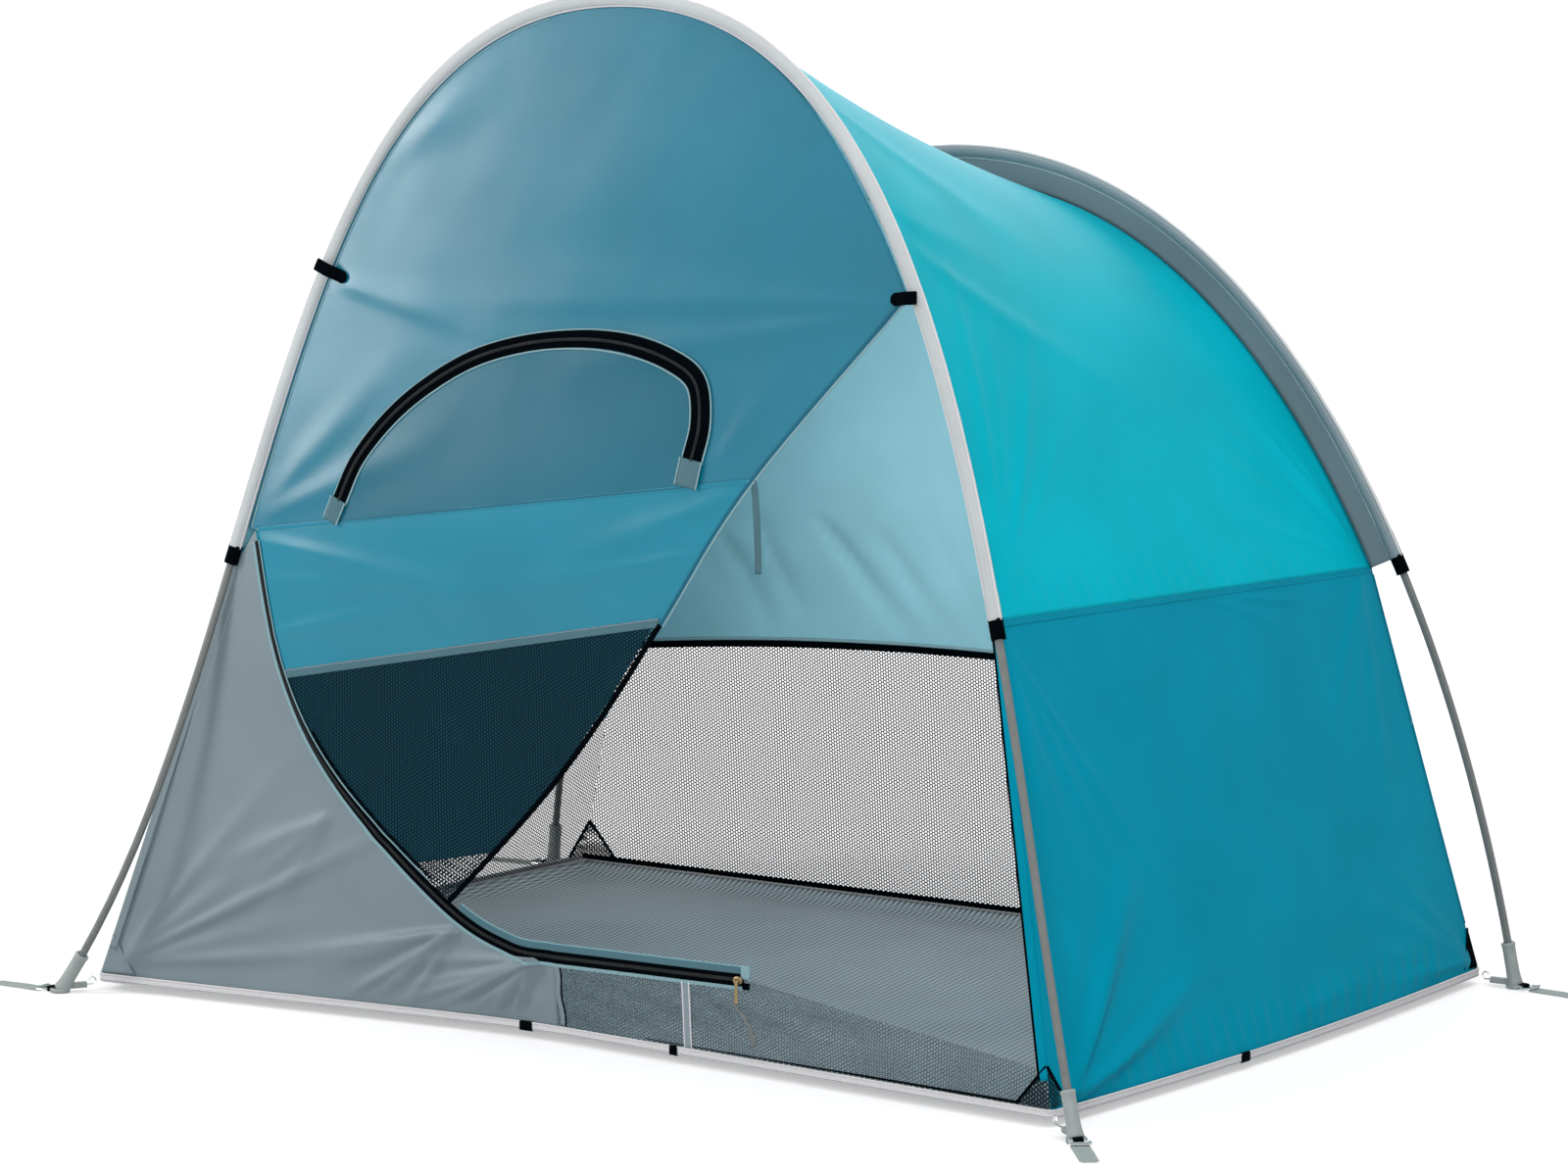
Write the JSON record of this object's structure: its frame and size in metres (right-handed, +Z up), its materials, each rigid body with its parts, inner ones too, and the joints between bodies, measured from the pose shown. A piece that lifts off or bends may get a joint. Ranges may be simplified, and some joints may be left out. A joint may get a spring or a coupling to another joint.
{
  "type": "beach tent",
  "caption": "Beach tent on two bent pole hoops, with a cloth canopy, mesh windows, a tub floor and a zipped front door drawn half open.",
  "frame": {"origin": "on the ground, midway between the four pole feet, on the floor's underside", "axes": "+Z up, +X to the tent's right seen from the front, +Y from the front door to the rear wall"},
  "size_m": [2.0534, 1.3805, 1.5223],
  "materials": {
    "pole": "satin",
    "ferrule": "satin",
    "sleeve": "matt",
    "black_webbing": "matt",
    "grey_strip": "matt",
    "canopy_cloth": "satin",
    "wall_cloth": "satin",
    "inner_cloth": "satin",
    "door_cloth": "satin",
    "band_cloth": "satin",
    "dark_mesh": "matt",
    "window_mesh": "matt",
    "flap_cloth": "matt",
    "panel_cloth": "satin",
    "floor_cloth": "satin",
    "hem": "matt",
    "boot_plastic": "moulded",
    "tab_webbing": "matt",
    "steel_wire": "polished",
    "zip_metal": "polished"
  },
  "bodies": {
    "tent": {"front_pole_right_leg": "pole", "front_pole_left_leg": "pole", "front_pole_crown": "pole", "front_ferrule_right": "ferrule", "front_ferrule_left": "ferrule", "front_sleeve": "sleeve", "front_sleeve_band_right": "black_webbing", "front_sleeve_band_left": "black_webbing", "rear_pole_right_leg": "pole", "rear_pole_left_leg": "pole", "rear_pole_crown": "pole", "rear_ferrule_right": "ferrule", "rear_ferrule_left": "ferrule", "rear_sleeve": "sleeve", "rear_sleeve_band_right": "black_webbing", "rear_sleeve_band_left": "black_webbing", "rear_strip": "grey_strip", "canopy": "canopy_cloth", "right_wall": "wall_cloth", "left_wall": "wall_cloth", "left_window_mesh": "window_mesh", "rear_wall": "inner_cloth", "rear_window_mesh": "window_mesh", "floor": "floor_cloth", "hem_tape": "hem", "front_panel": "panel_cloth", "front_lip_mesh": "dark_mesh", "door_upper": "door_cloth", "door_band": "band_cloth", "door_mesh": "dark_mesh", "storm_flap": "flap_cloth", "door_window_cover": "door_cloth", "door_window_zip": "black_webbing", "zip_track": "black_webbing", "tie_strap": "tab_webbing", "toggle_right": "black_webbing", "toggle_left": "black_webbing", "gusset_front_right": "black_webbing", "boot_front_right": "boot_plastic", "corner_hook_front_right": "steel_wire", "peg_ring_front_right": "steel_wire", "gusset_front_left": "black_webbing", "boot_front_left": "boot_plastic", "corner_hook_front_left": "steel_wire", "peg_ring_front_left": "steel_wire", "gusset_rear_right": "black_webbing", "boot_rear_right": "boot_plastic", "corner_hook_rear_right": "steel_wire", "peg_ring_rear_right": "steel_wire", "gusset_rear_left": "black_webbing", "boot_rear_left": "boot_plastic", "corner_hook_rear_left": "steel_wire", "peg_ring_rear_left": "steel_wire"},
    "zip_slider": {"zip_slider": "zip_metal"},
    "zip_pull": {"zip_pull": "zip_metal"},
    "peg_tab_front_right": {"peg_tab_front_right": "tab_webbing"},
    "peg_tab_front_left": {"peg_tab_front_left": "tab_webbing"},
    "peg_tab_rear_right": {"peg_tab_rear_right": "tab_webbing"},
    "peg_tab_rear_left": {"peg_tab_rear_left": "tab_webbing"}
  },
  "joints": [
    {"name": "zip_slide", "type": "slide", "parent": "tent", "child": "zip_slider", "axis": [0.9972, -0.0694, 0.0276], "range_m": [-0.29, 0]},
    {"name": "zip_pull_hinge", "type": "hinge", "parent": "zip_slider", "child": "zip_pull", "pos_m": [0.27402, -0.53836, 0.13568], "axis": [-0.9972, 0.0694, -0.0276], "range_deg": [0, 150]},
    {"name": "peg_tab_hinge_front_right", "type": "hinge", "parent": "tent", "child": "peg_tab_front_right", "pos_m": [0.92185, -0.65605, 0.004], "axis": [-0.766, -0.6428, 0], "range_deg": [0, 85]},
    {"name": "peg_tab_hinge_front_left", "type": "hinge", "parent": "tent", "child": "peg_tab_front_left", "pos_m": [-0.934, -0.63, 0.004], "axis": [0, 1, 0], "range_deg": [0, 85]},
    {"name": "peg_tab_hinge_rear_right", "type": "hinge", "parent": "tent", "child": "peg_tab_rear_right", "pos_m": [0.93381, 0.62645, 0.004], "axis": [-0.1045, -0.9945, 0], "range_deg": [0, 85]},
    {"name": "peg_tab_hinge_rear_left", "type": "hinge", "parent": "tent", "child": "peg_tab_rear_left", "pos_m": [-0.93381, 0.62645, 0.004], "axis": [-0.1045, 0.9945, 0], "range_deg": [0, 85]}
  ]
}
